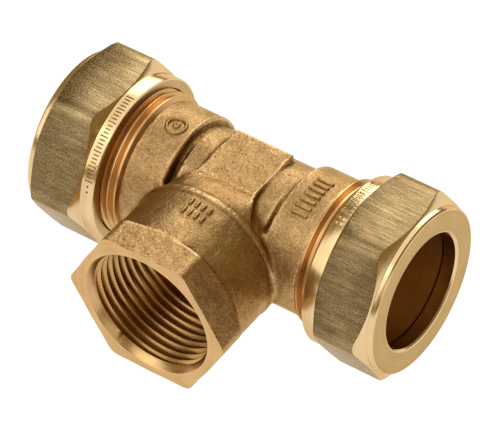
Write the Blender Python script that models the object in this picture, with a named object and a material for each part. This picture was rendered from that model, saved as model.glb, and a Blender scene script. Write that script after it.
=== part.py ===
"""Brass compression tee: two 22 mm pipe ends with nuts and rings, and a female-threaded branch.

The run lies along X and the branch points along -Y. The fitting lies on the lower flats of
its two nuts, at Z = 0. Everything is in metres.
"""

import math

import bmesh
import bpy
from mathutils import Matrix, Vector

MM = 0.001
GAP = 0.3 * MM
STEPS = 64

# Nuts: a rounded hexagon with a turned collar inside and a turned boss outside.
NUT_FLATS = 32.6 * MM
NUT_CORNER = 4.7 * MM
NUT_INNER_END = 22.5 * MM
NUT_OUTER_END = 37.2 * MM
COLLAR_R = 16.05 * MM
COLLAR_LENGTH = 2.8 * MM
BOSS_R = 15.8 * MM
BOSS_LENGTH = 1.3 * MM
CHAMFER_SLOPE = math.tan(math.radians(30))
LIP_LENGTH = 2.8 * MM

# Pipe ends of the body.
PIPE_R = 11.0 * MM
SOCKET_R = PIPE_R + 0.05 * MM
THREAD_R = 13.9 * MM
THREAD_START = 19.4 * MM
BODY_END = 28.5 * MM
SOCKET_STOP = 12.6 * MM
SEAT_DEPTH = 2.8 * MM
SEAT_R = 12.8 * MM

# Cast outside of the run.
SHOULDER_R = 13.1 * MM
SHOULDER_STEP = 11.3 * MM
NECK_R = 11.7 * MM
WATERWAY_R = 9.75 * MM
PAD_SIDE = 12.1 * MM
PAD_HEIGHT = 12.0 * MM

# Compression rings.
RING_R = 12.5 * MM
RING_NOSE_R = 11.4 * MM
RING_NOSE = 1.8 * MM
RING_INNER_END = 26.4 * MM
RING_OUTER_END = NUT_OUTER_END - LIP_LENGTH - GAP

# Branch.
BRANCH_REACH = 30.85 * MM
BRANCH_FLATS = 28.9 * MM
BRANCH_CORNER = 2.2 * MM
BRANCH_HEX_LENGTH = 6.3 * MM
BARREL_R = 14.4 * MM
BARREL_BACK = 12.0 * MM
BRANCH_BORE_R = 12.05 * MM
BRANCH_MOUTH_R = 13.15 * MM
BRANCH_BORE_DEPTH = 16.5 * MM

NUT_CORNER_R = (NUT_FLATS / 2 - NUT_CORNER) / math.cos(math.pi / 6) + NUT_CORNER
AXIS_Z = NUT_FLATS / 2
AXIS_Y = (BRANCH_REACH - NUT_CORNER_R) / 2
CENTRE = Vector((0, AXIS_Y, AXIS_Z))


def clear_scene():
    for obj in list(bpy.data.objects):
        bpy.data.objects.remove(obj)


def metal(name, colour, roughness):
    material = bpy.data.materials.new(name)
    material.use_nodes = True
    shader = material.node_tree.nodes["Principled BSDF"]
    shader.inputs["Base Color"].default_value = (*colour, 1)
    shader.inputs["Metallic"].default_value = 1.0
    shader.inputs["Roughness"].default_value = roughness
    return material


def add_object(name, bm, material=None):
    """Makes an object of the mesh, facing outwards, with the run's centre as its origin."""
    bmesh.ops.remove_doubles(bm, verts=bm.verts, dist=1e-7)
    bmesh.ops.recalc_face_normals(bm, faces=bm.faces)
    mesh = bpy.data.meshes.new(name)
    bm.to_mesh(mesh)
    bm.free()
    mesh.shade_smooth()
    mesh.set_sharp_from_angle(angle=math.radians(30))
    obj = bpy.data.objects.new(name, mesh)
    obj.location = CENTRE
    bpy.context.scene.collection.objects.link(obj)
    if material:
        mesh.materials.append(material)
    else:
        obj.hide_render = True
        obj.display_type = "WIRE"
    return obj


def turned(profile, closed=False):
    """Turns (along, radius) points about the X axis. A closed profile makes a ring."""
    bm = bmesh.new()
    rings = []
    for along, radius in profile:
        ring = []
        for step in range(STEPS):
            angle = 2 * math.pi * step / STEPS
            ring.append(bm.verts.new((along, radius * math.cos(angle), radius * math.sin(angle))))
        rings.append(ring)
    pairs = list(zip(rings, rings[1:]))
    if closed:
        pairs.append((rings[-1], rings[0]))
    else:
        bm.faces.new(rings[0])
        bm.faces.new(rings[-1])
    for low, high in pairs:
        for step in range(STEPS):
            after = (step + 1) % STEPS
            bm.faces.new((low[step], low[after], high[after], high[step]))
    return bm


def hexagon(flats, corner, start, end, corner_steps=6):
    """A hexagonal bar along X with rounded corners and with flats above and below."""
    bm = bmesh.new()
    centre_r = (flats / 2 - corner) / math.cos(math.pi / 6)
    outline = []
    for side in range(6):
        middle = math.pi / 3 * side
        for step in range(corner_steps + 1):
            angle = middle + math.pi / 3 * (step / corner_steps - 0.5)
            y = centre_r * math.cos(middle) + corner * math.cos(angle)
            z = centre_r * math.sin(middle) + corner * math.sin(angle)
            outline.append((y, z))
    low = [bm.verts.new((start, y, z)) for y, z in outline]
    high = [bm.verts.new((end, y, z)) for y, z in outline]
    bm.faces.new(low)
    bm.faces.new(high)
    for index in range(len(outline)):
        after = (index + 1) % len(outline)
        bm.faces.new((low[index], low[after], high[after], high[index]))
    return bm


def box(low, high):
    bm = bmesh.new()
    bmesh.ops.create_cube(bm, size=1)
    size = Vector(high) - Vector(low)
    middle = (Vector(high) + Vector(low)) / 2
    bmesh.ops.transform(bm, matrix=Matrix.LocRotScale(middle, None, size), verts=bm.verts)
    return bm


def towards_branch(bm):
    """Turns a shape that was made along +X so that it points along -Y."""
    bmesh.ops.rotate(bm, matrix=Matrix.Rotation(-math.pi / 2, 3, "Z"), verts=bm.verts)
    return bm


def combine(obj, other, operation):
    modifier = obj.modifiers.new(f"{operation.lower()}_{other.name}", "BOOLEAN")
    modifier.object = other
    modifier.operation = operation
    modifier.solver = "EXACT"


def both_ends(half):
    """Mirrors the (along, radius) points of one half onto the other half."""
    return [(-along, radius) for along, radius in reversed(half)] + list(half)


def run_outside():
    end_chamfer = 0.8 * MM
    step_run = 1.0 * MM
    half = [
        (SHOULDER_STEP - step_run, NECK_R),
        (SHOULDER_STEP, SHOULDER_R),
        (THREAD_START - GAP, SHOULDER_R),
        (THREAD_START, THREAD_R),
        (BODY_END - end_chamfer, THREAD_R),
        (BODY_END, THREAD_R - end_chamfer),
    ]
    return turned(both_ends(half))


def run_inside():
    past = 1.0 * MM
    stop_run = 0.8 * MM
    half = [
        (SOCKET_STOP - stop_run, WATERWAY_R),
        (SOCKET_STOP, SOCKET_R),
        (BODY_END - SEAT_DEPTH, SOCKET_R),
        (BODY_END, SEAT_R),
        (BODY_END + past, SEAT_R),
    ]
    return turned(both_ends(half))


def branch_outside():
    back_run = 2.5 * MM
    profile = [
        (BARREL_BACK - 2 * back_run, NECK_R - 0.5 * MM),
        (BARREL_BACK - back_run, NECK_R),
        (BARREL_BACK, BARREL_R),
        (BRANCH_REACH - BRANCH_HEX_LENGTH / 2, BARREL_R),
    ]
    return towards_branch(turned(profile))


def branch_inside():
    past = 1.0 * MM
    mouth_depth = 1.1 * MM
    bore_end = BRANCH_REACH - BRANCH_BORE_DEPTH
    profile = [
        (0, WATERWAY_R - GAP),
        (bore_end - (BRANCH_BORE_R - WATERWAY_R), WATERWAY_R - GAP),
        (bore_end, BRANCH_BORE_R),
        (BRANCH_REACH - mouth_depth, BRANCH_BORE_R),
        (BRANCH_REACH, BRANCH_MOUTH_R),
        (BRANCH_REACH + past, BRANCH_MOUTH_R),
    ]
    return towards_branch(turned(profile))


def make_body(material):
    body = add_object("tee_body", run_outside(), material)
    back = BRANCH_REACH - BRANCH_HEX_LENGTH
    hexagon_end = towards_branch(hexagon(BRANCH_FLATS, BRANCH_CORNER, back, BRANCH_REACH, 3))
    half_pad = PAD_SIDE / 2
    pads = box((-half_pad, -half_pad, -PAD_HEIGHT), (half_pad, half_pad, PAD_HEIGHT))
    combine(body, add_object("branch_barrel_form", branch_outside()), "UNION")
    combine(body, add_object("branch_hexagon_form", hexagon_end), "UNION")
    combine(body, add_object("wrench_pad_form", pads), "UNION")
    combine(body, add_object("run_bore_cutter", run_inside()), "DIFFERENCE")
    combine(body, add_object("branch_bore_cutter", branch_inside()), "DIFFERENCE")
    return body


def nut_outside():
    tall = NUT_CORNER_R + 0.5 * MM
    edge = 0.35 * MM
    hex_start = NUT_INNER_END + COLLAR_LENGTH
    hex_end = NUT_OUTER_END - BOSS_LENGTH
    profile = [
        (NUT_INNER_END, COLLAR_R - edge),
        (NUT_INNER_END + edge, COLLAR_R),
        (hex_start, COLLAR_R),
        (hex_start + (tall - COLLAR_R) * CHAMFER_SLOPE, tall),
        (hex_end - (tall - BOSS_R) * CHAMFER_SLOPE, tall),
        (hex_end, BOSS_R),
        (NUT_OUTER_END - 2 * edge, BOSS_R),
        (NUT_OUTER_END, BOSS_R - 2 * edge),
    ]
    return turned(profile)


def nut_inside():
    past = 1.0 * MM
    mouth = 0.5 * MM
    bore_r = PIPE_R + 0.1 * MM
    cone_r = RING_R + 0.6 * MM
    cone_run = RING_NOSE + GAP
    lip_inner = NUT_OUTER_END - LIP_LENGTH
    thread_r = THREAD_R + GAP
    relief_start = lip_inner - cone_run - 1.6 * MM
    profile = [
        (NUT_INNER_END - past, thread_r + mouth),
        (NUT_INNER_END, thread_r + mouth),
        (NUT_INNER_END + mouth, thread_r),
        (relief_start, thread_r),
        (relief_start + mouth, cone_r),
        (lip_inner - cone_run, cone_r),
        (lip_inner, RING_NOSE_R + 0.5 * MM),
        (lip_inner + mouth / 5, bore_r),
        (NUT_OUTER_END - mouth, bore_r),
        (NUT_OUTER_END, bore_r + mouth),
        (NUT_OUTER_END + past, bore_r + mouth),
    ]
    return turned(profile)


def make_nut(name, turn, material):
    """A nut is made for the +X end and turned half round for the other end."""
    nut = add_object(name, nut_outside(), material)
    start = NUT_INNER_END - MM
    end = NUT_OUTER_END + MM
    bar = add_object(f"{name}_bar_form", hexagon(NUT_FLATS, NUT_CORNER, start, end))
    bore = add_object(f"{name}_bore_cutter", nut_inside())
    for obj in (nut, bar, bore):
        obj.rotation_euler.z = turn
    combine(nut, bar, "INTERSECT")
    combine(nut, bore, "DIFFERENCE")
    return nut


def make_ring(name, turn, material):
    inner_nose = 2.4 * MM
    profile = [
        (RING_INNER_END, SOCKET_R + 0.05 * MM),
        (RING_INNER_END, RING_NOSE_R),
        (RING_INNER_END + inner_nose, RING_R),
        (RING_OUTER_END - RING_NOSE, RING_R),
        (RING_OUTER_END, RING_NOSE_R),
        (RING_OUTER_END, SOCKET_R + 0.05 * MM),
    ]
    ring = add_object(name, turned(profile, closed=True), material)
    ring.rotation_euler.z = turn
    return ring


def main():
    clear_scene()
    cast_brass = metal("cast_brass", (0.62, 0.42, 0.22), 0.42)
    drawn_brass = metal("drawn_brass", (0.55, 0.44, 0.24), 0.34)
    ring_brass = metal("ring_brass", (0.68, 0.52, 0.28), 0.3)
    make_body(cast_brass)
    make_nut("nut_right", 0, drawn_brass)
    make_nut("nut_left", math.pi, drawn_brass)
    make_ring("ring_right", 0, ring_brass)
    make_ring("ring_left", math.pi, ring_brass)


main()
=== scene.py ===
import math

import bmesh
import bpy
import numpy as np
from mathutils import Matrix, Vector


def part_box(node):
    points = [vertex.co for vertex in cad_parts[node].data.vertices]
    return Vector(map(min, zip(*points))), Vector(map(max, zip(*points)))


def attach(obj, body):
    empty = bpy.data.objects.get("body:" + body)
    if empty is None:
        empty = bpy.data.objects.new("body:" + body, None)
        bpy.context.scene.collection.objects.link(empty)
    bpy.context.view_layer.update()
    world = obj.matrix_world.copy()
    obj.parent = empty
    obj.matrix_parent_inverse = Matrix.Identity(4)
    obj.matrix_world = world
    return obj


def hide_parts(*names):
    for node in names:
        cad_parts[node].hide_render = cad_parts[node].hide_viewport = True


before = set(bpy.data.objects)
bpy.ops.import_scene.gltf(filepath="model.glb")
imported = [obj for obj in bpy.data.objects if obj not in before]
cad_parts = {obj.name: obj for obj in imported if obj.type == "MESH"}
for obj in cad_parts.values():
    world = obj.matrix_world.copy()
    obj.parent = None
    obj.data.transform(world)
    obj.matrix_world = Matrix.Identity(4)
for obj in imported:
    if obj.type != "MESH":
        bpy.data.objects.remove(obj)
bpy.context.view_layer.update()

# ---------------------------------------------------------------------------------------------
# Tee body
# One piece of brass, stamped hot and blasted, so that its skin is grainy and its corners are
# round. A lathe then faces the branch, bores it, and cuts the threads and the pipe sockets.
# ---------------------------------------------------------------------------------------------

# Sizes are in millimetres from the middle of the run, which lies along X. The branch is on -Y.
MM = 0.001
body_low, body_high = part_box("tee_body")
nut_low, nut_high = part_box("nut_right")
CENTRE = Vector((0, (nut_low.y + nut_high.y) / 2, (nut_low.z + nut_high.z) / 2))
BODY_END = body_high.x / MM
BRANCH_REACH = (CENTRE.y - body_low.y) / MM

STAMPED_EDGE = 0.4
NECK_R = 11.7
NECK_REACH = 15
GROOVE_AT = 10.7
GROOVE_DEPTH = 1.5
GROOVE_HALF_WIDTH = 0.6
GROOVE_FADE = 7
GROOVE_LOSS = 0.1
GROOVE_LEAST = 0.05
RIGHT_GROOVE_SHARE = 0.55
SHOULDER_R = 13.1
SHOULDER_START = 11.2
SHOULDER_END = 19.35
SHOULDER_FILLET = 0.8
ROOT_R_AT_PAD = 11.7
ROOT_SLOPE = 0.41
ROOT_MIDDLE = 8
ROOT_HALF = 5
ROOT_FILLET = 1.5
RAMP_DROP = 0.1
RAMP_INSET = 0.4
RAMP_EDGE = 1.2
RAMP_SPREAD = 0.5
RAMP_HALF = 4.3
RAMP_FILLET = 0.8
RAMP_TOP_COSINE = 0.92
RAMP_SIDE_COSINE = 0.9
PAD_HALF = 6.15
PAD_HEIGHT = 11.85
PAD_EDGE = 0.3
PAD_FILLET = 0.45
BARREL_R = 14.45
BARREL_BACK = 12.2
BARREL_PAST = 1
BARREL_EDGE = 0.3
BARREL_FILLET = 0.7
HEX_HALF_FLATS = (body_high.z - body_low.z) / 2 / MM
HEX_CORNER = 1.2
HEX_BACK = 24.05
HEX_BACK_SLOPE = 0.45
HEX_BACK_EDGE = 0.5
HEX_PAST = 2
HEX_FILLET = 0.45


def smooth_least(a, b, blend):
    """The lesser of two distances, with a fillet where they are within blend of each other."""
    h = np.clip(0.5 + 0.5 * (b - a) / blend, 0, 1)
    return b + (a - b) * h - blend * h * (1 - h)


def smooth_most(a, b, blend):
    """The greater of two distances, with the edge between them rounded."""
    return -smooth_least(-a, -b, blend)


def rounded_box(offsets, halves, radius):
    """Distance to a box of that half size whose edges are rounded."""
    q = [np.abs(offset) - (half - radius) for offset, half in zip(offsets, halves)]
    outside = np.sqrt(sum(np.maximum(v, 0) ** 2 for v in q))
    return outside + np.minimum(np.maximum.reduce(q), 0) - radius


def run_skin(x, y, z):
    """Distance from the two necks with their grooves, and the two shoulders outside them."""
    along, run_r = np.abs(x), np.hypot(y, z)
    fade = np.clip(-y / GROOVE_FADE - GROOVE_LOSS, GROOVE_LEAST, 1)
    groove = GROOVE_DEPTH * fade * np.where(x < 0, 1.0, RIGHT_GROOVE_SHARE)
    groove = groove * np.exp(-((along - GROOVE_AT) / GROOVE_HALF_WIDTH) ** 4)
    neck = rounded_box((along, run_r + groove), (NECK_REACH, NECK_R), STAMPED_EDGE)
    middle, half = (SHOULDER_END + SHOULDER_START) / 2, (SHOULDER_END - SHOULDER_START) / 2
    shoulder = rounded_box((along - middle, run_r), (half, SHOULDER_R), STAMPED_EDGE)
    return smooth_least(neck, shoulder, SHOULDER_FILLET)


def ramp_skin(x, out, z, branch_r):
    """Distance from the ramp that climbs from each pad to the branch's barrel."""
    rise = ROOT_SLOPE * (out - PAD_HALF)
    top = (np.abs(z) - PAD_HEIGHT + RAMP_DROP - rise) * RAMP_TOP_COSINE
    ramp = smooth_most(top, branch_r - BARREL_R + RAMP_INSET, RAMP_EDGE)
    sides = (np.abs(x) - PAD_HALF - RAMP_SPREAD * (out - PAD_HALF)) * RAMP_SIDE_COSINE
    return np.maximum.reduce([ramp, sides, np.abs(out - ROOT_MIDDLE) - RAMP_HALF])


def hexagon_skin(x, out, z, branch_r):
    """Distance from the branch's hexagon, whose back slopes down to the barrel."""
    angles = np.radians((30, 90, 150))
    flats = np.stack([np.abs(x * math.cos(a) + z * math.sin(a)) for a in angles])
    flats = np.sort(flats, axis=0)
    sides = smooth_most(flats[2], flats[1], HEX_CORNER) - HEX_HALF_FLATS
    back = HEX_BACK + HEX_BACK_SLOPE * (branch_r - HEX_HALF_FLATS) - out
    back = back / math.hypot(1, HEX_BACK_SLOPE)
    return np.maximum(smooth_most(sides, back, HEX_BACK_EDGE), out - BRANCH_REACH - HEX_PAST)


def body_skin(x, y, z):
    """Distance from the stamped skin of the whole body."""
    out, branch_r = -y, np.hypot(x, z)
    cone = (branch_r - ROOT_R_AT_PAD - ROOT_SLOPE * (out - PAD_HALF)) / math.hypot(1, ROOT_SLOPE)
    root = np.maximum(cone, np.abs(out - ROOT_MIDDLE) - ROOT_HALF)
    pad = rounded_box((x, y, z), (PAD_HALF, PAD_HALF, PAD_HEIGHT), PAD_EDGE)
    middle = (BRANCH_REACH + BARREL_BACK) / 2
    half = (BRANCH_REACH - BARREL_BACK) / 2 + BARREL_PAST
    barrel = rounded_box((out - middle - BARREL_PAST, branch_r), (half, BARREL_R), BARREL_EDGE)
    shape = smooth_least(run_skin(x, y, z), root, ROOT_FILLET)
    shape = smooth_least(shape, ramp_skin(x, out, z, branch_r), RAMP_FILLET)
    shape = smooth_least(shape, pad, PAD_FILLET)
    shape = smooth_least(shape, barrel, BARREL_FILLET)
    return smooth_least(shape, hexagon_skin(x, out, z, branch_r), HEX_FILLET)


def skin_mesh(field, low, high, cell):
    """Points on the zero surface of a field, one for each grid cell it crosses, and the faces."""
    axes = [np.arange(a, b + cell, cell) for a, b in zip(low, high)]
    value = field(*np.meshgrid(*axes, indexing="ij"))
    size = np.array(value.shape)
    total = np.zeros((*(size - 1), 3))
    count = np.zeros(size - 1)
    quads = []
    for axis in range(3):
        step = np.eye(3, dtype=int)[axis]
        near = value[tuple(slice(0, s - d) for s, d in zip(size, step))]
        far = value[tuple(slice(d, s) for s, d in zip(size, step))]
        at = np.argwhere((near < 0) != (far < 0))
        near, far = near[tuple(at.T)], far[tuple(at.T)]
        crossing = at + (near / (near - far))[:, None] * step
        first, second = [d for d in range(3) if d != axis]
        ring = []
        for a, b in ((0, 0), (1, 0), (1, 1), (0, 1)):
            cell_at = at.copy()
            cell_at[:, first] -= a
            cell_at[:, second] -= b
            np.add.at(total, tuple(cell_at.T), crossing)
            np.add.at(count, tuple(cell_at.T), 1)
            ring.append(np.ravel_multi_index(cell_at.T, size - 1))
        quad = np.stack(ring, 1)
        flip = (near < 0) == (axis == 1)
        quad[flip] = quad[flip][:, ::-1]
        quads.append(quad)
    used, quads = np.unique(np.concatenate(quads), return_inverse=True)
    points = total.reshape(-1, 3)[used] / count.reshape(-1)[used][:, None] * cell + np.array(low)

    # Each point then moves along the field's slope to where the field is zero.
    reach, rounds, furthest, least_slope = 0.01, 4, 0.4, 0.2
    for _ in range(rounds):
        slope = np.stack([(field(*(points + d).T) - field(*(points - d).T)) / (2 * reach)
                          for d in np.eye(3) * reach], 1)
        steepness = np.maximum((slope ** 2).sum(1), least_slope)[:, None]
        move = field(*points.T)[:, None] * slope / steepness
        points -= np.clip(move, -furthest * cell, furthest * cell)
    return points, quads.reshape(-1, 4)


def mesh_object(name, points, faces=()):
    """A linked object whose mesh holds these points."""
    mesh = bpy.data.meshes.new(name)
    mesh.from_pydata(np.asarray(points).tolist(), [], [list(f) for f in faces])
    mesh.update()
    obj = bpy.data.objects.new(name, mesh)
    bpy.context.scene.collection.objects.link(obj)
    return obj


def tidy_mesh(obj, merge=1e-7):
    """Merges doubles, takes out slivers and turns the faces outwards."""
    bm = bmesh.new()
    bm.from_mesh(obj.data)
    bmesh.ops.remove_doubles(bm, verts=bm.verts, dist=merge)
    bmesh.ops.dissolve_degenerate(bm, edges=bm.edges, dist=merge)
    bmesh.ops.recalc_face_normals(bm, faces=bm.faces)
    bm.to_mesh(obj.data)
    bm.free()
    return obj


class Flow:
    """A number on its way through a node tree. Arithmetic on it adds Math nodes."""

    def __init__(self, tree, socket):
        self.tree = tree
        self.socket = socket

    def math(self, operation, *others, clamp=False):
        inputs = dict(enumerate((self, *others)))
        node = add_node(self.tree, "ShaderNodeMath", inputs, operation=operation)
        node.use_clamp = clamp
        return Flow(self.tree, node.outputs[0])

    def __add__(self, other):
        return self.math("ADD", other)

    def __sub__(self, other):
        return self.math("SUBTRACT", other)

    def __mul__(self, other):
        return self.math("MULTIPLY", other)

    def __truediv__(self, other):
        return self.math("DIVIDE", other)


def add_node(tree, kind, inputs=None, **settings):
    """Adds a node. An input's value is a number, a colour, a socket or a Flow."""
    node = tree.nodes.new(kind)
    for name, value in settings.items():
        setattr(node, name, value)
    for key, value in (inputs or {}).items():
        value = value.socket if isinstance(value, Flow) else value
        if isinstance(value, bpy.types.NodeSocket):
            tree.links.new(value, node.inputs[key])
        else:
            node.inputs[key].default_value = value
    return node


def new_tree(name, **sockets):
    """A Geometry Nodes tree, and a function that gives one of its named inputs as a Flow."""
    tree = bpy.data.node_groups.new(name, "GeometryNodeTree")
    tree.is_modifier = True
    for kind, labels in sockets.items():
        for label in labels:
            tree.interface.new_socket(label, in_out="INPUT", socket_type="NodeSocket" + kind)
    tree.interface.new_socket("Geometry", in_out="OUTPUT", socket_type="NodeSocketGeometry")
    given = add_node(tree, "NodeGroupInput").outputs
    return tree, lambda label: Flow(tree, given[label])


def end_tree(tree, geometry, material):
    """Ends a tree in Realize Instances and Set Material."""
    real = add_node(tree, "GeometryNodeRealizeInstances", {0: geometry}).outputs[0]
    painted = add_node(tree, "GeometryNodeSetMaterial", {"Geometry": real, "Material": material})
    add_node(tree, "NodeGroupOutput", {0: painted.outputs[0]})


def place_round_axis(tree, along, radius, angle, centre):
    """A place at that length and radius, in metres, and at that angle from +Y towards +Z."""
    place = add_node(tree, "ShaderNodeCombineXYZ", {
        0: along, 1: radius * angle.math("COSINE"), 2: radius * angle.math("SINE")})
    moved = add_node(tree, "ShaderNodeVectorMath", {0: place.outputs[0], 1: centre},
                     operation="ADD")
    return moved.outputs[0]


def take_result(obj):
    """Replaces an object's mesh with what its modifiers make of it, and removes them."""
    graph = bpy.context.evaluated_depsgraph_get()
    mesh = bpy.data.meshes.new_from_object(obj.evaluated_get(graph),
                                           preserve_all_data_layers=True, depsgraph=graph)
    if not mesh.polygons:
        raise ValueError(f"{obj.name} came out empty")
    old = obj.data
    obj.modifiers.clear()
    obj.data = mesh
    bpy.data.meshes.remove(old)


def grown(name, tree, values, degrees):
    """A plain mesh object made by a Geometry Nodes tree, and turned about Z at the centre."""
    obj = mesh_object(name, [])
    modifier = obj.modifiers.new(tree.name, "NODES")
    modifier.node_group = tree
    for item in tree.interface.items_tree:
        if item.in_out == "INPUT" and item.name in values:
            modifier[item.identifier] = values[item.name]
    take_result(obj)
    obj.data.materials.clear()
    obj.data.materials.append(values["Material"])
    obj.data.polygons.foreach_set("material_index", [0] * len(obj.data.polygons))
    tidy_mesh(obj)
    turn = Matrix.Rotation(math.radians(degrees), 4, "Z")
    obj.data.transform(Matrix.Translation(CENTRE) @ turn @ Matrix.Translation(-CENTRE))
    return obj


# A turned section is a lathe's outline swept round the X axis. Each row of its outline is at
# along + along_hex * H and radius + radius_hex * H, where H is the distance from the axis to a
# hexagon bar's surface. A row of a thread has a number of turns in place of a length.
ROW_FIELDS = ("along", "along_hex", "radius", "radius_hex", "thread")

# A thread's section as shares of its pitch: half the flat at the crest, the flank beside it,
# and where the rows of one turn lie.
CREST_FLAT = 0.07
FLANK = 0.35
TURN_ROWS = (-0.07, 0.0, 0.07, 0.165, 0.26, 0.34, 0.42, 0.5, 0.58, 0.66, 0.74, 0.835)


def hexagon_radius(angle, half_flats, corner_r, choose):
    """The surface of a hexagon bar with round corners, one of which is at angle 0."""
    from_corner = angle.math("PINGPONG", math.pi / 6)
    from_flat = from_corner * -1.0 + math.pi / 6
    on_flat = half_flats / from_flat.math("COSINE")
    corner_centre = (half_flats - corner_r) / math.cos(math.pi / 6)
    aside = corner_centre * from_corner.math("SINE")
    on_corner = (corner_r * corner_r - aside * aside).math("MAXIMUM", 0.0).math("SQRT")
    on_corner = on_corner + corner_centre * from_corner.math("COSINE")
    flat_half_width = (half_flats - corner_r) * math.tan(math.pi / 6)
    is_flat = from_flat.math("LESS_THAN", (flat_half_width / half_flats).math("ARCTANGENT"))
    return choose(is_flat, on_corner, on_flat)


def turned_tree():
    """Geometry Nodes: a grid of columns and rows, set on the section's surface and closed."""
    tree, flow = new_tree(
        "turned_section", Object=("Outline",), Int=("Rows", "Columns", "Closed"),
        Float=("Half flats", "Corner radius", "Pitch", "Crest at", "Thread start", "Thread end",
               "Crest radius", "Root radius", "Limit radius", "Limit at", "Limit slope",
               "Is inside"),
        Vector=("Centre",), Material=("Material",))

    def choose(flag, when_off, when_on):
        node = add_node(tree, "GeometryNodeSwitch", {0: flag, 1: when_off, 2: when_on},
                        input_type="FLOAT")
        return Flow(tree, node.outputs[0])

    outline = add_node(tree, "GeometryNodeObjectInfo", {"Object": flow("Outline")})
    outline = outline.outputs["Geometry"]
    rows = flow("Rows") + flow("Closed")
    grid = add_node(tree, "GeometryNodeMeshGrid",
                    {"Vertices X": flow("Columns") + 1.0, "Vertices Y": rows})
    index = Flow(tree, add_node(tree, "GeometryNodeInputIndex").outputs[0])
    column = ((index + 0.5) / rows).math("FLOOR")
    row = (index - column * rows).math("MODULO", flow("Rows"))
    turn = column / flow("Columns")
    angle = turn * (2 * math.pi)
    values = {}
    for name in ROW_FIELDS:
        field = add_node(tree, "GeometryNodeInputNamedAttribute", {"Name": name},
                         data_type="FLOAT").outputs[0]
        node = add_node(tree, "GeometryNodeSampleIndex",
                        {"Geometry": outline, "Value": field, "Index": row},
                        data_type="FLOAT", domain="POINT")
        values[name] = Flow(tree, node.outputs[0])
    hexagon = hexagon_radius(angle, flow("Half flats"), flow("Corner radius"), choose)

    # The thread is right-handed, and moves out along X as it turns from +Y to +Z. A cone whose
    # radius is the limit fades it out at the end that a mating part enters.
    along = flow("Crest at") + flow("Pitch") * (values["along"] + turn)
    along = along.math("MAXIMUM", flow("Thread start")).math("MINIMUM", flow("Thread end"))
    phase = (along - flow("Crest at")) / flow("Pitch") - turn
    from_crest = phase.math("PINGPONG", 0.5)
    fall = ((from_crest - CREST_FLAT) / FLANK).math("ADD", 0.0, clamp=True)
    radius = flow("Crest radius") + (flow("Root radius") - flow("Crest radius")) * fall
    limit = flow("Limit radius") + flow("Limit slope") * (along - flow("Limit at"))
    radius = choose(flow("Is inside"), radius.math("MINIMUM", limit),
                    radius.math("MAXIMUM", limit))

    is_thread = values["thread"]
    along = choose(is_thread, values["along"] + values["along_hex"] * hexagon, along)
    radius = choose(is_thread, values["radius"] + values["radius_hex"] * hexagon, radius)
    place = place_round_axis(tree, along * MM, radius * MM, angle, flow("Centre"))
    shaped = add_node(tree, "GeometryNodeSetPosition",
                      {"Geometry": grid.outputs[0], "Position": place})
    closed = add_node(tree, "GeometryNodeMergeByDistance",
                      {"Geometry": shaped.outputs[0], "Distance": 1e-7})
    end_tree(tree, closed.outputs[0], flow("Material"))
    return tree


TURNED = turned_tree()


def plain(*points):
    """Rows at (along, radius) in millimetres."""
    return [(along, 0, radius, 0, 0) for along, radius in points]


def thread_rows(start, end, crest_at, pitch):
    """Rows that follow the helix from just before the start to just after the end."""
    first = math.floor((start - crest_at) / pitch) - 2
    last = math.ceil((end - crest_at) / pitch) + 1
    return [(turn + share, 0, 0, 0, 1) for turn in range(first, last) for share in TURN_ROWS]


def turned(name, rows, columns, material, closed=True, degrees=0, **sizes):
    """A turned piece. An open outline starts and ends on the axis."""
    outline = mesh_object(name + "_outline", np.zeros((len(rows), 3)))
    for field, numbers in zip(ROW_FIELDS, np.array(rows, np.float32).T):
        data = outline.data.attributes.new(field, "FLOAT", "POINT").data
        data.foreach_set("value", np.ascontiguousarray(numbers))
    values = {"Outline": outline, "Rows": len(rows), "Columns": columns, "Closed": int(closed),
              "Centre": CENTRE, "Material": material}
    # A section with no hexagon or no thread still needs a bar and a pitch that aren't zero.
    sizes = {"half_flats": 16, "corner_radius": 4, "pitch": 1.5, **sizes}
    for key, value in sizes.items():
        values[key.replace("_", " ").capitalize()] = float(value)
    obj = grown(name, TURNED, values, degrees)
    bpy.data.objects.remove(outline)
    return obj


def face_facts(obj):
    """Each face's middle in millimetres from the centre, and its normal."""
    count = len(obj.data.polygons)
    middle, normal = np.empty(count * 3), np.empty(count * 3)
    obj.data.polygons.foreach_get("center", middle)
    obj.data.polygons.foreach_get("normal", normal)
    return (middle.reshape(-1, 3) - np.array(CENTRE)) / MM, normal.reshape(-1, 3)


def boolean(obj, other, operation):
    """Applies a Boolean, which carries the other's material onto its cut, and removes it."""
    modifier = obj.modifiers.new(operation.lower(), "BOOLEAN")
    modifier.object = other
    modifier.operation = operation
    modifier.solver = "MANIFOLD"
    modifier.material_mode = "TRANSFER"
    take_result(obj)
    bpy.data.objects.remove(other)


BRASS_GLOSS_TINT = (0.84, 0.70, 0.50, 1)


def start_material(name, metallic=1.0):
    """A material, its tree and shader, and Object coordinates in millimetres from the centre."""
    material = bpy.data.materials.new(name)
    material.use_nodes = True
    tree = material.node_tree
    shader = tree.nodes["Principled BSDF"]
    shader.inputs["Metallic"].default_value = metallic
    shader.inputs["Specular Tint"].default_value = BRASS_GLOSS_TINT
    coords = add_node(tree, "ShaderNodeTexCoord").outputs["Object"]
    mapping = add_node(tree, "ShaderNodeMapping", {
        "Vector": coords, "Location": -CENTRE / MM, "Scale": (1 / MM, 1 / MM, 1 / MM)})
    return material, tree, shader, mapping.outputs[0]


def noise(tree, vector, scale, detail=2.0, roughness=0.5):
    """Noise about zero, from -0.5 to 0.5."""
    node = add_node(tree, "ShaderNodeTexNoise", {
        "Vector": vector, "Scale": scale, "Detail": detail, "Roughness": roughness})
    return Flow(tree, node.outputs["Fac"]) - 0.5


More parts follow.
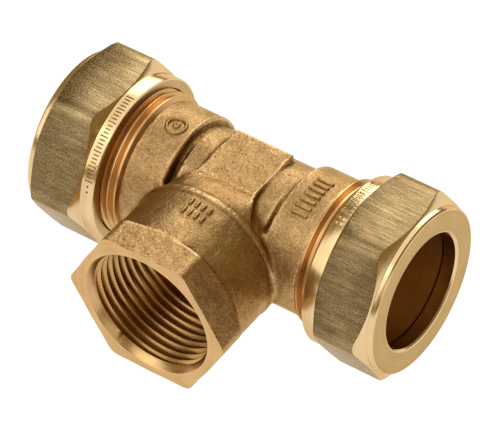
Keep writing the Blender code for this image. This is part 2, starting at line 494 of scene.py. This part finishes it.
def pits(tree, vector, scale, size):
    """1 inside small round pits, one in each cell, falling to 0 at their rims."""
    node = add_node(tree, "ShaderNodeTexVoronoi", {"Vector": vector, "Scale": scale})
    return (Flow(tree, node.outputs["Distance"]) / -size + 1.0).math("ADD", 0.0, clamp=True)


def finish_shader(tree, shader, tone, tones, roughness, height):
    """Colours along a tone that runs from about -1 to 1, and a relief in millimetres."""
    node = add_node(tree, "ShaderNodeValToRGB", {0: tone * 0.5 + 0.5})
    ramp = node.color_ramp
    while len(ramp.elements) < len(tones):
        ramp.elements.new(0.5)
    for element, (place, colour) in zip(ramp.elements, tones):
        element.position = place * 0.5 + 0.5
        element.color = (*colour, 1)
    tree.links.new(node.outputs[0], shader.inputs["Base Color"])
    rough = roughness.math("MAXIMUM", 0.08).math("MINIMUM", 0.9)
    tree.links.new(rough.socket, shader.inputs["Roughness"])
    bump = add_node(tree, "ShaderNodeBump", {"Height": height, "Distance": MM, "Strength": 1.0})
    tree.links.new(bump.outputs[0], shader.inputs["Normal"])


def blasted_skin():
    """Grainy stamped brass: brighter where edges rub, and darker in the corners as painted shade.
    """
    material, tree, shader, place = start_material("blasted_stamped_brass")
    edge = add_node(tree, "ShaderNodeAttribute", attribute_name="edge").outputs["Fac"]
    edge = Flow(tree, edge)
    grain = noise(tree, place, 2.1, 4.0, 0.68)
    fine = noise(tree, place, 6.0, 2.0)
    swell = noise(tree, place, 0.32, 2.0)
    dent = pits(tree, place, 0.55, 0.16)
    # The edge value lifts the tone on convex edges for rubbing wear, and lowers it in hollows as
    # painted shade.
    tone = grain * 2.2 + fine * 1.4 + swell * 1.2 + edge * 0.8 - dent * 0.6
    tones = ((-1, (0.17, 0.09, 0.026)), (-0.3, (0.39, 0.235, 0.098)),
             (0.25, (0.52, 0.335, 0.155)), (1, (0.76, 0.54, 0.30)))
    roughness = grain * -0.35 + fine * 0.2 - edge * 0.1 + 0.31
    height = grain * 0.13 + fine * 0.04 + swell * 0.3 - dent * 0.08
    finish_shader(tree, shader, tone, tones, roughness, height)
    return material


ALONG_RUN, ALONG_BRANCH = 0, 1


def turned_finish(name, axis, rough, relief, *colours):
    """Brass from the lathe: fine rings round its axis and light tarnish. Darkest colour first."""
    material, tree, shader, place = start_material(name)
    parts = add_node(tree, "ShaderNodeSeparateXYZ", {0: place}).outputs
    along, aside, up = (Flow(tree, parts[i]) for i in (axis, 1 - axis, 2))
    radius = (aside * aside + up * up).math("SQRT")
    rings_at = add_node(tree, "ShaderNodeCombineXYZ", {0: along, 1: radius, 2: aside * 0.004})
    fine = noise(tree, rings_at.outputs[0], 9.0, 3.0, 0.6)
    broad = noise(tree, rings_at.outputs[0], 1.6, 2.0)
    tarnish = noise(tree, place, 0.22, 3.0)
    specks = pits(tree, place, 1.3, 0.11)
    tone = fine * 1.1 + broad * 1.0 + tarnish * 1.2 - specks * 0.7
    tones = tuple(zip((-1, -0.2, 0.3, 1), colours))
    roughness = fine * 0.25 + tarnish * 0.12 + rough
    finish_shader(tree, shader, tone, tones, roughness, fine * relief + broad * relief)
    return material


cast_brass = blasted_skin()
faced_brass = turned_finish(
    "faced_brass", ALONG_BRANCH, 0.3, 0.006,
    (0.40, 0.23, 0.10), (0.58, 0.36, 0.165), (0.66, 0.43, 0.21), (0.80, 0.58, 0.33))
# The thread deep in the branch's bore takes a darker, more saturated copy of the faced brass:
# painted shade.
shaded_tapped_brass = turned_finish(
    "shaded_tapped_brass", ALONG_BRANCH, 0.26, 0.004,
    (0.30, 0.15, 0.045), (0.52, 0.295, 0.10), (0.60, 0.36, 0.14), (0.76, 0.52, 0.26))
thread_brass = turned_finish(
    "thread_brass", ALONG_RUN, 0.3, 0.004,
    (0.40, 0.21, 0.08), (0.57, 0.34, 0.15), (0.66, 0.42, 0.20), (0.80, 0.56, 0.31))
bore_brass = turned_finish(
    "bore_brass", ALONG_RUN, 0.34, 0.006,
    (0.42, 0.25, 0.09), (0.60, 0.39, 0.15), (0.68, 0.46, 0.19), (0.78, 0.55, 0.26))

SKIN_CELL = 0.3
BARE_CORNER = 33
RUN_COLUMNS = 168
RUN_PITCH = 1.5
RUN_CREST_R = 14.0
RUN_ROOT_R = 13.05
RUN_CREST_AT = 20.82
RUN_END_CHAMFER = 0.45
RUN_CORE_R = RUN_ROOT_R - 0.6
SOCKET_R = 11.05
SOCKET_STOP = 12.6
WATERWAY_R = 9.75
WATERWAY_SLOPE_LENGTH = 0.8
SEAT_R = 12.8
SEAT_DEPTH = 2.8
PAST_THE_METAL = 3
BRANCH_COLUMNS = 200
BRANCH_PITCH = 1.7
BRANCH_ROOT_R = 12.92
BRANCH_CREST_R = 12.08
BRANCH_CREST_AT = 19.1
BRANCH_THREAD_START = 14.8
BRANCH_THREAD_END = 29.3
BRANCH_WAY_R = WATERWAY_R - 0.2
BRANCH_WAY_END = 12.4
BRANCH_DRILL_END = 13.6
MOUTH_R = 12.95
MOUTH_SLOPE = 0.45
FACING_COLUMNS = 64
FACING_R = 24

extent = np.array((SHOULDER_END + 1, BRANCH_REACH + 3, HEX_HALF_FLATS + 1.3))
skin_high = (extent[0], SHOULDER_R + 1, extent[2])
skin_points, skin_faces = skin_mesh(body_skin, -extent, skin_high, SKIN_CELL)
tee = mesh_object("tee_body_stamping", skin_points * MM + np.array(CENTRE), skin_faces)
tidy_mesh(tee)
tee.data.materials.append(cast_brass)

# Each threaded end starts inside its shoulder, so that the two become one solid.
for side, degrees in (("right", 0), ("left", 180)):
    start, end = SHOULDER_END - 0.3, BODY_END
    rows = plain((start - 0.6, 0), (start - 0.6, RUN_CORE_R), (start - 0.01, RUN_CORE_R))
    rows += thread_rows(start, end, RUN_CREST_AT, RUN_PITCH) + plain((end, 0))
    pipe_end = turned(
        f"{side}_pipe_end", rows, RUN_COLUMNS, thread_brass, False, degrees, pitch=RUN_PITCH,
        crest_at=RUN_CREST_AT, thread_start=start, thread_end=end, crest_radius=RUN_CREST_R,
        root_radius=RUN_ROOT_R, limit_radius=RUN_CREST_R - RUN_END_CHAMFER, limit_at=end,
        limit_slope=-1, is_inside=0)
    boolean(tee, pipe_end, "UNION")

half = [(SOCKET_STOP - WATERWAY_SLOPE_LENGTH, WATERWAY_R), (SOCKET_STOP, SOCKET_R),
        (BODY_END - SEAT_DEPTH, SOCKET_R), (BODY_END, SEAT_R), (BODY_END + 2, SEAT_R),
        (BODY_END + 2, 0)]
rows = plain(*[(-along, radius) for along, radius in reversed(half)], *half)
boolean(tee, turned("run_cutter", rows, RUN_COLUMNS, bore_brass, False), "DIFFERENCE")

rows = plain((BRANCH_REACH, 0), (BRANCH_REACH, FACING_R), (BRANCH_REACH + 6, FACING_R),
             (BRANCH_REACH + 6, 0))
facing_cutter = turned("facing_cutter", rows, FACING_COLUMNS, faced_brass, False, -90)
boolean(tee, facing_cutter, "DIFFERENCE")

start, end = BRANCH_THREAD_START, BRANCH_THREAD_END
rows = plain((0, 0), (0, BRANCH_WAY_R), (BRANCH_WAY_END, BRANCH_WAY_R),
             (BRANCH_DRILL_END, BRANCH_CREST_R), (start - 0.05, BRANCH_CREST_R))
rows += thread_rows(start, end, BRANCH_CREST_AT, BRANCH_PITCH)
rows += plain((end + 0.02, MOUTH_R - MOUTH_SLOPE * (BRANCH_REACH - end)),
              (BRANCH_REACH - 0.1, MOUTH_R - 0.03), (BRANCH_REACH, MOUTH_R + 0.08),
              (BRANCH_REACH + PAST_THE_METAL, MOUTH_R + 1), (BRANCH_REACH + PAST_THE_METAL, 0))
branch_cutter = turned(
    "branch_cutter", rows, BRANCH_COLUMNS, faced_brass, False, -90, pitch=BRANCH_PITCH,
    crest_at=BRANCH_CREST_AT, thread_start=start, thread_end=end,
    crest_radius=BRANCH_ROOT_R, root_radius=BRANCH_CREST_R, is_inside=1)
branch_cutter.data.materials.append(shaded_tapped_brass)
tapped = face_facts(branch_cutter)[0][:, 1] > 0.05 - end
branch_cutter.data.polygons.foreach_set("material_index", tapped.astype(np.int32))
boolean(tee, branch_cutter, "DIFFERENCE")
tidy_mesh(tee)

# How far each point stands out from the skin round it, for wear on edges and painted shade in
# corners.
LOOK_ROUND = 0.6
FLAT_OFFSET = 0.012
FULL_WEAR_AND_SHADE = 0.09
points = np.empty(len(tee.data.vertices) * 3)
tee.data.vertices.foreach_get("co", points)
points = (points.reshape(-1, 3) - np.array(CENTRE)) / MM
around = sum(body_skin(*(points + step).T) for d in np.eye(3) * LOOK_ROUND for step in (d, -d))
stand_out = (around / 6 - body_skin(*points.T) - FLAT_OFFSET) / FULL_WEAR_AND_SHADE
stand_out = np.clip(stand_out, -1, 1).astype(np.float32)
tee.data.attributes.new("edge", "FLOAT", "POINT").data.foreach_set("value", stand_out)
tee.data.shade_smooth()
tee.data.set_sharp_from_angle(angle=math.radians(BARE_CORNER))
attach(tee, "body")
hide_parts("tee_body")

# ---------------------------------------------------------------------------------------------
# Raised marks on the body
# Plain marks of the same brass, pressed up with the body, because the stamping dies have small
# hollows for them: a ring with a dot on one shoulder, bars on the other, two rows on the branch.
# ---------------------------------------------------------------------------------------------


def marks_tree():
    """Geometry Nodes: copies of one mark in a row round the X axis, every few of them longer."""
    tree, flow = new_tree(
        "row_of_marks", Object=("Mark",), Int=("Count",),
        Float=("First angle", "Angle step", "Along", "Radius", "Long every", "Long scale"),
        Vector=("Centre",), Material=("Material",))
    line = add_node(tree, "GeometryNodeMeshLine", {"Count": flow("Count")})
    index = Flow(tree, add_node(tree, "GeometryNodeInputIndex").outputs[0])
    angle = flow("First angle") + flow("Angle step") * index
    place = place_round_axis(tree, flow("Along") * MM, flow("Radius") * MM, angle, flow("Centre"))
    points = add_node(tree, "GeometryNodeSetPosition",
                      {"Geometry": line.outputs[0], "Position": place})
    mark = add_node(tree, "GeometryNodeObjectInfo", {"Object": flow("Mark")}).outputs["Geometry"]
    is_long = index.math("MODULO", flow("Long every")).math("LESS_THAN", 0.5)
    length = is_long * (flow("Long scale") - 1.0) + 1.0
    scale = add_node(tree, "ShaderNodeCombineXYZ", {0: length, 1: 1.0, 2: 1.0})
    turn = add_node(tree, "ShaderNodeCombineXYZ", {0: angle - math.pi / 2})
    copies = add_node(tree, "GeometryNodeInstanceOnPoints", {
        "Points": points.outputs[0], "Instance": mark, "Rotation": turn.outputs[0],
        "Scale": scale.outputs[0]})
    end_tree(tree, copies.outputs[0], flow("Material"))
    return tree


MARKS = marks_tree()


def mark_block(length, width, height, soften):
    """A block along X with soft edges, half of it above the surface that it sits on."""
    obj = mesh_object("mark_block", [])
    size = Matrix.Diagonal((length * MM, width * MM, 2 * height * MM, 1))
    bm = bmesh.new()
    bmesh.ops.create_cube(bm, size=1, matrix=size)
    bmesh.ops.bevel(bm, geom=bm.edges, offset=soften * MM, segments=2, profile=0.5,
                    affect="EDGES")
    bm.to_mesh(obj.data)
    bm.free()
    return obj


def marks(name, block, material, count, first, step, along, radius, degrees=0, long_every=1,
          long_scale=1.0):
    """A row of copies of the block, which goes. Angles are in degrees from +Y towards +Z."""
    obj = grown(name, MARKS, {
        "Mark": block, "Count": count, "First angle": math.radians(first),
        "Angle step": math.radians(step), "Along": float(along), "Radius": float(radius),
        "Long every": float(long_every), "Long scale": float(long_scale), "Centre": CENTRE,
        "Material": material}, degrees)
    bpy.data.objects.remove(block)
    return obj


ROUNDEL_AT = -14.75
ROUNDEL_ANGLE = math.radians(91)
ROUNDEL_RING_R = 1.8
ROUNDEL_RING_HALF_WIDTH = 0.4
ROUNDEL_DOT_R = 0.75
ROUNDEL_HEIGHT = 0.4
ROUNDEL_AROUND = 48
ROUNDEL_ACROSS = 8
SHOULDER_BAR = (3.4, 0.8, 0.42, 0.25)
SHOULDER_BARS_AT = 15.25
BRANCH_BAR = (1.6, 0.68, 0.4, 0.22)
BRANCH_OUTER_BARS_AT = 17.6
BRANCH_INNER_BARS_AT = 15.3


def shoulder_roundel():
    """A plain raised ring with a dot in it, bent to lie on the shoulder."""
    points, faces = [], []
    half_dot = ROUNDEL_DOT_R / 2
    for middle_r, half_width in ((ROUNDEL_RING_R, ROUNDEL_RING_HALF_WIDTH), (half_dot, half_dot)):
        base = len(points)
        for i in range(ROUNDEL_AROUND):
            for j in range(ROUNDEL_ACROSS):
                side, lift = 2 * math.pi * i / ROUNDEL_AROUND, 2 * math.pi * j / ROUNDEL_ACROSS
                flat_r = middle_r + half_width * math.cos(lift)
                out = SHOULDER_R + ROUNDEL_HEIGHT * math.sin(lift)
                bend = ROUNDEL_ANGLE + flat_r * math.sin(side) / SHOULDER_R
                points.append((ROUNDEL_AT + flat_r * math.cos(side), out * math.cos(bend),
                               out * math.sin(bend)))
                a, b = (i + 1) % ROUNDEL_AROUND, (j + 1) % ROUNDEL_ACROSS
                faces.append([base + ROUNDEL_ACROSS * u + v
                              for u, v in ((i, j), (a, j), (a, b), (i, b))])
    obj = mesh_object("shoulder_roundel", np.array(points) * MM + np.array(CENTRE), faces)
    obj.data.materials.append(cast_brass)
    return tidy_mesh(obj)


raised_marks = [
    shoulder_roundel(),
    marks("shoulder_bars", mark_block(*SHOULDER_BAR), cast_brass, 7, 78, 6.1, SHOULDER_BARS_AT,
          SHOULDER_R),
    marks("branch_bars_outer", mark_block(*BRANCH_BAR), cast_brass, 4, 77, 5.2,
          BRANCH_OUTER_BARS_AT, BARREL_R, -90),
    marks("branch_bars_inner", mark_block(*BRANCH_BAR), cast_brass, 4, 77, 5.2,
          BRANCH_INNER_BARS_AT, BARREL_R, -90)]
for mark in raised_marks:
    mark.data.shade_smooth()
    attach(mark, "body")

# ---------------------------------------------------------------------------------------------
# Compression nuts
# Each is parted off drawn hexagon bar, so its flats keep the dull lengthwise streaks of the die.
# The collar, both chamfers, the outer boss, the bore and the thread inside are turned bright.
# ---------------------------------------------------------------------------------------------

NUT_COLUMNS = 252
NUT_HALF_FLATS = (nut_high.z - nut_low.z) / 2 / MM
NUT_CORNER = 3.4
NUT_START = nut_low.x / MM
NUT_END = nut_high.x / MM
NUT_BARE_CORNER = 25
THREAD_CLEARANCE = 0.2
THREAD_LEAD_IN = 0.25
COLLAR_R = 16.05
COLLAR_LENGTH = 2.75
BOSS_R = 15.95
BOSS_LENGTH = 1.15
CHAMFER_SLOPE = math.tan(math.radians(30))
NUT_BORE_R = 11.1
LIP_LENGTH = 2.8
CONE_LENGTH = 2.1
CONE_R = 13.1
RELIEF_START = 30.6
BREAK = 0.1
TICK_AT = NUT_START + 1.42
TICK = (1.15, 0.26, 0.13, 0.05)
TICK_STEP = 2.6
TICKS_TO_A_LONG_ONE = 4
LONG_TICK_SCALE = 1.45
DOT = (0.42, 0.42, 0.13, 0.12)
DOT_STEP = 4


def stretched(tree, vector, *scale):
    """Coordinates multiplied by a scale, so that a small one draws a pattern out."""
    node = add_node(tree, "ShaderNodeVectorMath", {0: vector, 1: scale}, operation="MULTIPLY")
    return node.outputs[0]


def drawn_skin():
    """Hexagon bar as drawn: dull, olive, with streaks, specks and flecks along its length."""
    material, tree, shader, place = start_material("drawn_bar_skin")
    streak = noise(tree, stretched(tree, place, 0.08, 2.0, 2.0), 1.0, 3.0, 0.65)
    line = noise(tree, stretched(tree, place, 0.35, 6.0, 6.0), 1.0, 2.0)
    fleck = noise(tree, stretched(tree, place, 3.0, 6.5, 6.5), 1.0, 2.0, 0.7)
    patch = noise(tree, place, 0.16, 2.0)
    tone = streak * 1.2 + line * 1.3 + fleck * 1.6 + patch * 0.9
    tones = ((-1, (0.06, 0.038, 0.013)), (-0.35, (0.18, 0.122, 0.054)),
             (0.25, (0.31, 0.224, 0.112)), (1, (0.60, 0.46, 0.26)))
    roughness = fleck * 0.3 - streak * 0.2 + 0.21
    height = streak * 0.03 + line * 0.03 + fleck * 0.04
    finish_shader(tree, shader, tone, tones, roughness, height)
    return material


drawn_brass = drawn_skin()
nut_turned_brass = turned_finish(
    "nut_turned_brass", ALONG_RUN, 0.2, 0.005,
    (0.50, 0.33, 0.16), (0.68, 0.48, 0.255), (0.76, 0.555, 0.315), (0.88, 0.69, 0.44))
# The flat end faces take a darker copy of the nut's turned brass, which is painted shade.
shaded_nut_end_brass = turned_finish(
    "shaded_nut_end_brass", ALONG_RUN, 0.34, 0.006,
    (0.36, 0.24, 0.11), (0.49, 0.34, 0.165), (0.56, 0.39, 0.195), (0.68, 0.50, 0.28))
# The stamped ticks and dots are cut with a dark brass that carries onto their hollows: painted
# shade in the shallow cuts.
stamp_shade_brass = turned_finish(
    "stamp_hollow_shade_brass", ALONG_RUN, 0.45, 0.0,
    (0.16, 0.09, 0.03), (0.27, 0.16, 0.06), (0.36, 0.23, 0.10), (0.48, 0.32, 0.15))


def nut_outline():
    """From the collar out over the hexagon to the boss, and back through the bore and thread."""
    hex_start, hex_end = NUT_START + COLLAR_LENGTH, NUT_END - BOSS_LENGTH
    lip_start = NUT_END - LIP_LENGTH
    inner, outer = hex_start - COLLAR_R * CHAMFER_SLOPE, hex_end + BOSS_R * CHAMFER_SLOPE
    collar = plain((NUT_START, COLLAR_R - 0.3), (NUT_START + 0.09, COLLAR_R - 0.09),
                   (NUT_START + 0.3, COLLAR_R), (hex_start - 0.12, COLLAR_R),
                   (hex_start, COLLAR_R + 0.02))
    bar = [(inner - BREAK * 0.8, CHAMFER_SLOPE, -BREAK, 1, 0),
           (inner, CHAMFER_SLOPE, -BREAK * 0.25, 1, 0), (inner + BREAK, CHAMFER_SLOPE, 0, 1, 0),
           ((inner + outer) / 2, 0, 0, 1, 0), (outer - BREAK, -CHAMFER_SLOPE, 0, 1, 0),
           (outer, -CHAMFER_SLOPE, -BREAK * 0.25, 1, 0),
           (outer + BREAK * 0.8, -CHAMFER_SLOPE, -BREAK, 1, 0)]
    boss = plain((hex_end, BOSS_R + 0.02), (hex_end + 0.12, BOSS_R), (NUT_END - 0.42, BOSS_R),
                 (NUT_END - 0.26, BOSS_R - 0.05), (NUT_END - 0.08, BOSS_R - 0.2),
                 (NUT_END, BOSS_R - 0.42), (NUT_END, BOSS_R - 0.5))
    bore = plain((NUT_END, NUT_BORE_R + 0.6), (NUT_END, NUT_BORE_R + 0.5),
                 (NUT_END - 0.1, NUT_BORE_R + 0.26), (NUT_END - 0.4, NUT_BORE_R),
                 (lip_start, NUT_BORE_R), (lip_start, NUT_BORE_R + 0.8),
                 (lip_start - CONE_LENGTH, CONE_R), (RELIEF_START + 0.5, CONE_R),
                 (RELIEF_START + 0.1, RUN_CREST_R + THREAD_CLEARANCE))
    thread = thread_rows(NUT_START, RELIEF_START, RUN_CREST_AT, RUN_PITCH)
    return collar + bar + boss + bore + thread[::-1]


# The number of ticks, then the angles of the first tick and the first dot.
for side, degrees, ticks, first_tick, first_dot in (("right", 0, 13, 72, 108),
                                                    ("left", 180, 25, 23, 15)):
    nut = turned(
        f"compression_nut_{side}", nut_outline(), NUT_COLUMNS, nut_turned_brass, True, degrees,
        half_flats=NUT_HALF_FLATS, corner_radius=NUT_CORNER, pitch=RUN_PITCH,
        crest_at=RUN_CREST_AT, thread_start=NUT_START, thread_end=RELIEF_START,
        crest_radius=RUN_CREST_R + THREAD_CLEARANCE, root_radius=RUN_ROOT_R + THREAD_CLEARANCE,
        limit_radius=RUN_CREST_R + THREAD_LEAD_IN, limit_at=NUT_START, limit_slope=-1,
        is_inside=1)
    nut.data.materials.append(drawn_brass)
    nut.data.materials.append(shaded_nut_end_brass)
    middle, normal = face_facts(nut)
    lean = np.abs(normal[:, 0])
    on_bar = (lean < 0.3) & (np.hypot(middle[:, 1], middle[:, 2]) > COLLAR_R + 0.1)
    # Faces that look along the axis take the darker end brass, which is painted shade.
    on_end = lean > 0.95
    nut.data.polygons.foreach_set("material_index", (on_bar + 2 * on_end).astype(np.int32))
    for cutter in (
            marks(f"{side}_ticks", mark_block(*TICK), stamp_shade_brass, ticks, first_tick, TICK_STEP,
                  TICK_AT, COLLAR_R, degrees, TICKS_TO_A_LONG_ONE, LONG_TICK_SCALE),
            marks(f"{side}_dots", mark_block(*DOT), stamp_shade_brass, 2, first_dot, DOT_STEP,
                  TICK_AT, COLLAR_R, degrees)):
        boolean(nut, cutter, "DIFFERENCE")
    nut.data.shade_smooth()
    nut.data.set_sharp_from_angle(angle=math.radians(NUT_BARE_CORNER))
    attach(nut, f"{side}_nut")
    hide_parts(f"nut_{side}")

# ---------------------------------------------------------------------------------------------
# Compression rings
# Soft brass rings with a cone at each end, turned from tube. Each sits in its nut, and only a
# narrow line of it shows past the lip of the bore.
# ---------------------------------------------------------------------------------------------

RING_COLUMNS = 160
RING_BORE_R = 11.1
RING_R = 12.5

for side, degrees in (("right", 0), ("left", 180)):
    low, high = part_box(f"ring_{side}")
    near, far = sorted((abs(low.x) / MM, abs(high.x) / MM))
    rows = plain((near, RING_BORE_R), (near, 11.35), (near + 0.1, 11.45), (near + 2.3, 12.44),
                 (near + 2.6, RING_R), (far - 2.0, RING_R), (far - 1.7, 12.44),
                 (far - 0.1, 11.5), (far, 11.4), (far, RING_BORE_R))
    ring = turned(f"compression_ring_{side}", rows, RING_COLUMNS, bore_brass, True, degrees)
    ring.data.shade_smooth()
    ring.data.set_sharp_from_angle(angle=math.radians(NUT_BARE_CORNER))
    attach(ring, f"{side}_ring")
    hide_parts(f"ring_{side}")

# ---------------------------------------------------------------------------------------------
# Studio
# A white table that glows a little, a wide soft box overhead, a bright one behind and two at the
# front. The room beyond them is dim and warm.
# ---------------------------------------------------------------------------------------------

TABLE_HALF = 1.6
TABLE_DROP = 0.0002
TABLE_GLOW = 0.98
corners = [(x * TABLE_HALF, y * TABLE_HALF, 0) for x, y in ((-1, -1), (1, -1), (1, 1), (-1, 1))]
table = mesh_object("pale_table", corners, [(0, 1, 2, 3)])
table.data.transform(Matrix.Translation((0, 0, -TABLE_DROP)))
table_white, tree, shader, place = start_material("table_white", 0.0)
shader.inputs["Base Color"].default_value = (0.2, 0.2, 0.2, 1)
shader.inputs["Roughness"].default_value = 0.9
shader.inputs["Specular IOR Level"].default_value = 0.0
shader.inputs["Emission Color"].default_value = (1, 1, 1, 1)
shader.inputs["Emission Strength"].default_value = TABLE_GLOW
table.data.materials.append(table_white)


def link_object(name, data, matrix):
    """A light or camera in the scene, at that place and turn."""
    obj = bpy.data.objects.new(name, data)
    obj.matrix_world = matrix
    bpy.context.scene.collection.objects.link(obj)
    return obj


def soft_box(name, azimuth, elevation, distance, size, radiance):
    """A rectangular light that faces the fitting, from a compass direction (0 +Y, 90 +X)."""
    a, e = math.radians(azimuth), math.radians(elevation)
    toward = Vector((math.sin(a) * math.cos(e), math.cos(a) * math.cos(e), math.sin(e)))
    place = CENTRE + distance * toward
    light = bpy.data.lights.new(name, "AREA")
    light.shape = "RECTANGLE"
    light.size, light.size_y = size
    light.energy = radiance * math.pi * size[0] * size[1]
    turn = (CENTRE - place).to_track_quat("-Z", "Y").to_matrix().to_4x4()
    link_object(name, light, Matrix.Translation(place) @ turn)


soft_box("overhead_light", -90, 80, 0.9, (1.4, 0.67), 0.98)
soft_box("back_light", -21, 31, 1.0, (0.46, 0.72), 3.4)
soft_box("front_left_light", -147, 38, 1.0, (0.85, 0.95), 1.35)
soft_box("front_right_light", 135, 28, 1.0, (0.6, 0.5), 0.75)

world = bpy.data.worlds.new("studio_air")
bpy.context.scene.world = world
world.use_nodes = True
air = world.node_tree.nodes["Background"]
air.inputs["Color"].default_value = (1.0, 0.76, 0.30, 1)
air.inputs["Strength"].default_value = 0.28
bpy.context.scene.view_settings.view_transform = "Standard"

CAMERA_AZIMUTH = math.radians(36.7)
CAMERA_ELEVATION = math.radians(45.24)
CAMERA_ROLL = math.radians(-2.5)
CAMERA_DISTANCE = 0.765
AIM = Vector((0.400, -0.395, 0))
IMAGE_WIDTH = 500
IMAGE_SCALE = 5.615
SENSOR_WIDTH = 36
camera_data = bpy.data.cameras.new("camera")
camera_data.sensor_width = SENSOR_WIDTH
camera_data.lens = SENSOR_WIDTH * IMAGE_SCALE * CAMERA_DISTANCE / MM / IMAGE_WIDTH
camera_data.clip_start = 0.01
back = Vector((math.sin(CAMERA_AZIMUTH) * math.cos(CAMERA_ELEVATION),
               -math.cos(CAMERA_AZIMUTH) * math.cos(CAMERA_ELEVATION),
               math.sin(CAMERA_ELEVATION)))
turn = (-back).to_track_quat("-Z", "Y").to_matrix() @ Matrix.Rotation(CAMERA_ROLL, 3, "Z")
aim = CENTRE + turn @ AIM * MM
camera_place = Matrix.Translation(aim + back * CAMERA_DISTANCE) @ turn.to_4x4()
bpy.context.scene.camera = link_object("camera", camera_data, camera_place)
